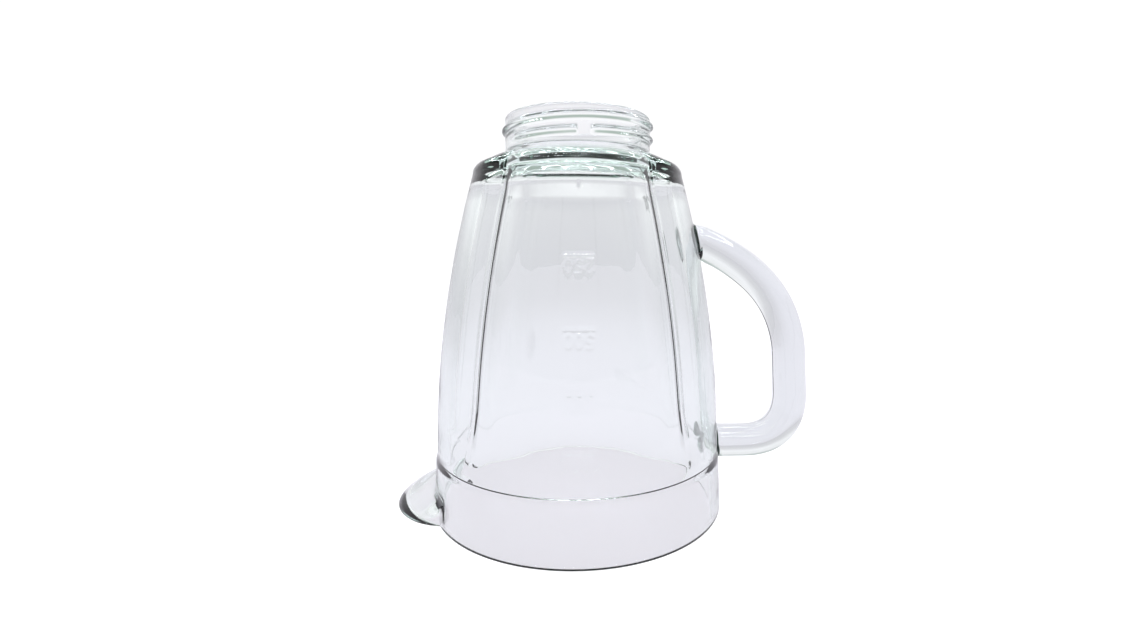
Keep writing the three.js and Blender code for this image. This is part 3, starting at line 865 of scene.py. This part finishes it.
upper_joint = collar(ROOT_AT, UPPER_RISE, UPPER_MARGIN, "upper_joint_glass", "handle_upper_pad")
lower_at = steps[-1] - ROOT_AT
lower_joint = collar(lower_at, LOWER_RISE, LOWER_MARGIN, "lower_joint_glass", "handle_lower_pad")

# %% [markdown]
# ## The bar
# A drawn bar is never quite even: it is fuller where it bends and where it spreads to meet the
# wall. These small changes of size keep its highlights from running as straight as a ruler.

# %% The bar between the collars
END_ROOM = 4.0
STEP_CROWDING = 0.05
BEND_PLACE, BEND_SWELL, BEND_SPREAD = 0.76, 0.03, 22.0
ROOT_SWELL, ROOT_SPREAD = 0.02, 3.0
SEAM_START, SEAM_FADE_LENGTH = 12.0, 20.0
END_SIZE = 1.01
END_LAYERS = ((0.0, 0.965), (0.35, 0.99), (0.9, 1.0))  # millimetres clear of the collar, size


def bar_sizes(at):
    """One, plus a bell at the bend, plus a swell that dies away from each root."""
    from_end = np.minimum(at, steps[-1] - at)
    bend = np.exp(-(((at - steps[-1] * BEND_PLACE) / BEND_SPREAD) ** 2))
    root = np.exp(-((from_end - END_ROOM) / ROOT_SPREAD))
    return 1.0 + BEND_SWELL * bend + ROOT_SWELL * root


def bar_end(at, rise):
    """Three ovals seated on the wall, just beyond a collar's outer face."""
    base = bar_ring(np.array([at]), np.array([END_SIZE]), 0.0)[0]
    lifted = 2 * AIR_GAP + rise
    return [seat_on_wall(scaled(base, size), lifted + clear) for clear, size in END_LAYERS]


def bar_stack():
    """Ovals along the bar, a little fuller at the bend; both ends follow the collars."""
    along = np.linspace(0.0, 1.0, BAR_RINGS)
    eased = along - STEP_CROWDING * np.sin(2 * math.pi * along)
    at = END_ROOM + eased * (steps[-1] - 2 * END_ROOM)
    from_end = np.minimum(at, steps[-1] - at)
    seam = smooth((from_end - SEAM_START) / SEAM_FADE_LENGTH)[:, None]
    body = bar_ring(at, bar_sizes(at), seam)
    first = bar_end(ROOT_AT, UPPER_RISE)
    last = bar_end(steps[-1] - ROOT_AT, LOWER_RISE)
    return first + list(body) + last[::-1]


stack, faces = closed_stack(bar_stack())
handle = mesh_object("handle_bar_glass", stack * MM, faces, handle_glass)
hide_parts("handle_bar")

# %% [markdown]
# ## A check of the glass
# Light is bent in and out of a solid, so a hole in a skin or a skin that is inside out gives a
# wrong picture. No open edge and a volume above zero mean that neither has happened.

# %% Check that the pieces are closed and point outwards
import bmesh

for piece in (jar, handle, upper_joint, lower_joint):
    check = bmesh.new()
    check.from_mesh(piece.data)
    open_edges = sum(1 for edge in check.edges if not edge.is_manifold)
    volume = check.calc_volume(signed=True)
    check.free()
    print(f"{piece.name}: {open_edges} open edges, {volume * 1e6:.1f} cm3 of glass")

# %% [markdown]
# ## A bright field
# Clear glass is lit by what stands behind it. A pale floor and a pale room make a bright
# field, and the edges go dark only where the glass bends the eye's line out of that field,
# so the room is darker overhead and behind the camera. The camera itself sees the field as
# plain white, as in a catalogue, while the glass passes on its real, faintly lilac grey.

# %% The room's light by height
SKY = (  # sine of the angle above the horizon, colour
    (0.00, (0.73, 0.715, 0.765)),
    (0.12, (0.79, 0.775, 0.815)),
    (0.27, (1.05, 1.04, 1.08)),
    (0.50, (0.96, 0.96, 0.98)),
    (0.60, (0.42, 0.50, 0.46)),
    (0.85, (0.38, 0.45, 0.415)),
)
world = bpy.data.worlds.new("studio_room")
bpy.context.scene.world = world
world.use_nodes = True
room = world.node_tree
room.nodes.clear()
direction = new_node(room, "ShaderNodeTexCoord")
split = new_node(room, "ShaderNodeSeparateXYZ")
room.links.new(direction.outputs["Generated"], split.inputs["Vector"])
height_ramp = new_node(room, "ShaderNodeValToRGB")
stops = height_ramp.color_ramp.elements
stops[0].position, stops[1].position = SKY[0][0], SKY[-1][0]
stops[0].color, stops[1].color = (*SKY[0][1], 1.0), (*SKY[-1][1], 1.0)
for sine, colour in SKY[1:-1]:
    stops.new(sine).color = (*colour, 1.0)
room.links.new(split.outputs["Z"], height_ramp.inputs["Fac"])
print("the room's light has", len(stops), "stops of height")

# %% Darker behind the camera
CAMERA_SIDE_LIGHT = 0.70
toward = new_node(room, "ShaderNodeMapRange", From_Min=-0.9, From_Max=0.2, To_Min=CAMERA_SIDE_LIGHT)
room.links.new(split.outputs["Y"], toward.inputs["Value"])
shaded = new_node(room, "ShaderNodeMix")
shaded.data_type = "RGBA"
shaded.blend_type = "MULTIPLY"
shaded.inputs[0].default_value = 1.0
room.links.new(height_ramp.outputs["Color"], shaded.inputs[6])
room.links.new(toward.outputs["Result"], shaded.inputs[7])
room_light = new_node(room, "ShaderNodeBackground", Strength=1.0)
room.links.new(shaded.outputs[2], room_light.inputs["Color"])
print(f"behind the camera the room has {CAMERA_SIDE_LIGHT:.0%} of its light")

# %% White for the camera
WHITE_FIELD_LIGHT = 1.05
white_field = new_node(room, "ShaderNodeBackground", Color=WHITE, Strength=WHITE_FIELD_LIGHT)
rays = new_node(room, "ShaderNodeLightPath")
choice = new_node(room, "ShaderNodeMixShader")
room_out = new_node(room, "ShaderNodeOutputWorld")
room.links.new(rays.outputs["Is Camera Ray"], choice.inputs["Fac"])
room.links.new(room_light.outputs["Background"], choice.inputs[1])
room.links.new(white_field.outputs["Background"], choice.inputs[2])
room.links.new(choice.outputs["Shader"], room_out.inputs["Surface"])
print("the camera sees a plain white room")

# %% [markdown]
# ## The floor
# The floor is a lit table, as for product pictures of glass: most of its light is its own, so
# the jar's shadow on it stays faint. Like the room, it is white to the camera and a faintly
# lilac grey to the light that has come through the glass.

# %% The floor's material
GLOW_SEEN = WHITE
MATT_SEEN = (0.30, 0.30, 0.30, 1.0)
GLOW_THROUGH_GLASS = (0.84, 0.81, 0.87, 1.0)
GLOW_THROUGH_GLASS_STRENGTH = 0.82
MATT_THROUGH_GLASS = (0.20, 0.19, 0.21, 1.0)


def lit_table(tree, colour, strength, matt):
    """Light of its own plus a matt share of the light that falls on it."""
    own = new_node(tree, "ShaderNodeEmission", Color=colour, Strength=strength)
    falling = new_node(tree, "ShaderNodeBsdfDiffuse", Color=matt)
    both = new_node(tree, "ShaderNodeAddShader")
    tree.links.new(own.outputs["Emission"], both.inputs[0])
    tree.links.new(falling.outputs["BSDF"], both.inputs[1])
    return both


floor_material = bare_material("pale_floor")
table = floor_material.node_tree
seen = lit_table(table, GLOW_SEEN, 1.0, MATT_SEEN)
through = lit_table(table, GLOW_THROUGH_GLASS, GLOW_THROUGH_GLASS_STRENGTH, MATT_THROUGH_GLASS)
table_rays = new_node(table, "ShaderNodeLightPath")
table_choice = new_node(table, "ShaderNodeMixShader")
table_out = new_node(table, "ShaderNodeOutputMaterial")
table.links.new(table_rays.outputs["Is Camera Ray"], table_choice.inputs["Fac"])
table.links.new(through.outputs["Shader"], table_choice.inputs[1])
table.links.new(seen.outputs["Shader"], table_choice.inputs[2])
table.links.new(table_choice.outputs["Shader"], table_out.inputs["Surface"])
print("floor material:", floor_material.name, "with", len(table.nodes), "nodes")

# %% Lay the floor
FLOOR_REACH = 6.0
FLOOR_DROP = 0.0003


def stage_object(name, vertices, faces, material):
    """A mesh that belongs to the studio and not to the jar."""
    mesh = bpy.data.meshes.new(name)
    mesh.from_pydata(vertices, [], faces)
    mesh.materials.append(material)
    made = bpy.data.objects.new(name, mesh)
    bpy.context.scene.collection.objects.link(made)
    return made


square = ((-1, -1), (1, -1), (1, 1), (-1, 1))
floor_corners = [(x * FLOOR_REACH, y * FLOOR_REACH, -FLOOR_DROP) for x, y in square]
floor = stage_object("floor", floor_corners, [(0, 1, 2, 3)], floor_material)
print(f"the floor is {2 * FLOOR_REACH:.0f} m wide and {FLOOR_DROP * 1000:.1f} mm below the jar")

# %% [markdown]
# ## Lights
# Big soft boxes would lay white patches on the wall and hide its shape. Rings of small lamps
# overhead give small sparkles on the thread and the shoulder instead, and they are the same
# from every side. Each lamp is one glowing face.

# %% The rings of small lamps
LAMP_RINGS = ((0.50, 0.62, 72), (0.32, 0.80, 44), (0.14, 0.88, 20))  # radius, height, lamps
LAMP_HALF_WIDTH = 0.007
LAMP_HALF_LENGTH = 0.03
LAMP_COLOUR = (0.90, 0.95, 1.0, 1.0)
LAMP_GLOW = 24.0


def lamp_ring(radius, height, count):
    """One short tube's face per lamp, equally spaced round a circle and pointing at its middle."""
    angle = np.arange(count)[:, None] / count * 2.0 * math.pi
    outward = radius + np.array([[-1, -1, 1, 1]]) * LAMP_HALF_LENGTH
    sideways = np.array([[-1, 1, 1, -1]]) * LAMP_HALF_WIDTH
    x = AXIS_X * MM + outward * np.cos(angle) - sideways * np.sin(angle)
    y = outward * np.sin(angle) + sideways * np.cos(angle)
    z = np.full(x.shape, height)
    return np.stack([x, y, z], axis=-1).reshape(-1, 3)


glow = bare_material("lamp_glow")
glow_out = new_node(glow.node_tree, "ShaderNodeOutputMaterial")
glow_light = new_node(glow.node_tree, "ShaderNodeEmission", Color=LAMP_COLOUR, Strength=LAMP_GLOW)
glow.node_tree.links.new(glow_light.outputs["Emission"], glow_out.inputs["Surface"])
lamp_points = np.concatenate([lamp_ring(*ring) for ring in LAMP_RINGS])
lamp_faces = np.arange(len(lamp_points)).reshape(-1, 4).tolist()
lamps = stage_object("lamp_ring", lamp_points, lamp_faces, glow)
print(f"{len(lamp_faces)} lamps in {len(LAMP_RINGS)} rings")

# %% [markdown]
# ## The camera
# A short lens stands close to the jar, at two thirds of its height and looking slightly
# down: the mouth shows as an open ellipse, and the neck is seen from a little below.

# %% Place the camera
LENS = 17.19
SENSOR_WIDTH = 36.0
SIDE_SHIFT = -33.0 / 1140.0
CAMERA_BESIDE_AXIS, CAMERA_IN_FRONT, CAMERA_HEIGHT = -0.7, 262.13, 119.25  # millimetres
YAW, PITCH, ROLL = 0.048, 0.121, 0.003
NEAREST_SEEN = 0.01

camera_data = bpy.data.cameras.new("camera")
camera_data.sensor_width = SENSOR_WIDTH
camera_data.lens = LENS
camera_data.shift_x = SIDE_SHIFT
camera_data.clip_start = NEAREST_SEEN
camera = bpy.data.objects.new("camera", camera_data)
look = Vector((math.sin(YAW) * math.cos(PITCH), math.cos(YAW) * math.cos(PITCH), -math.sin(PITCH)))
turned = look.to_track_quat("-Z", "Y").to_matrix().to_4x4()
stand = ((AXIS_X + CAMERA_BESIDE_AXIS) * MM, -CAMERA_IN_FRONT * MM, CAMERA_HEIGHT * MM)
camera.matrix_world = Matrix.Translation(stand) @ turned @ Matrix.Rotation(ROLL, 4, "Z")
bpy.context.scene.collection.objects.link(camera)
bpy.context.scene.camera = camera
bpy.context.scene.view_settings.view_transform = "Standard"
print("camera at", [round(value, 3) for value in stand], "m")
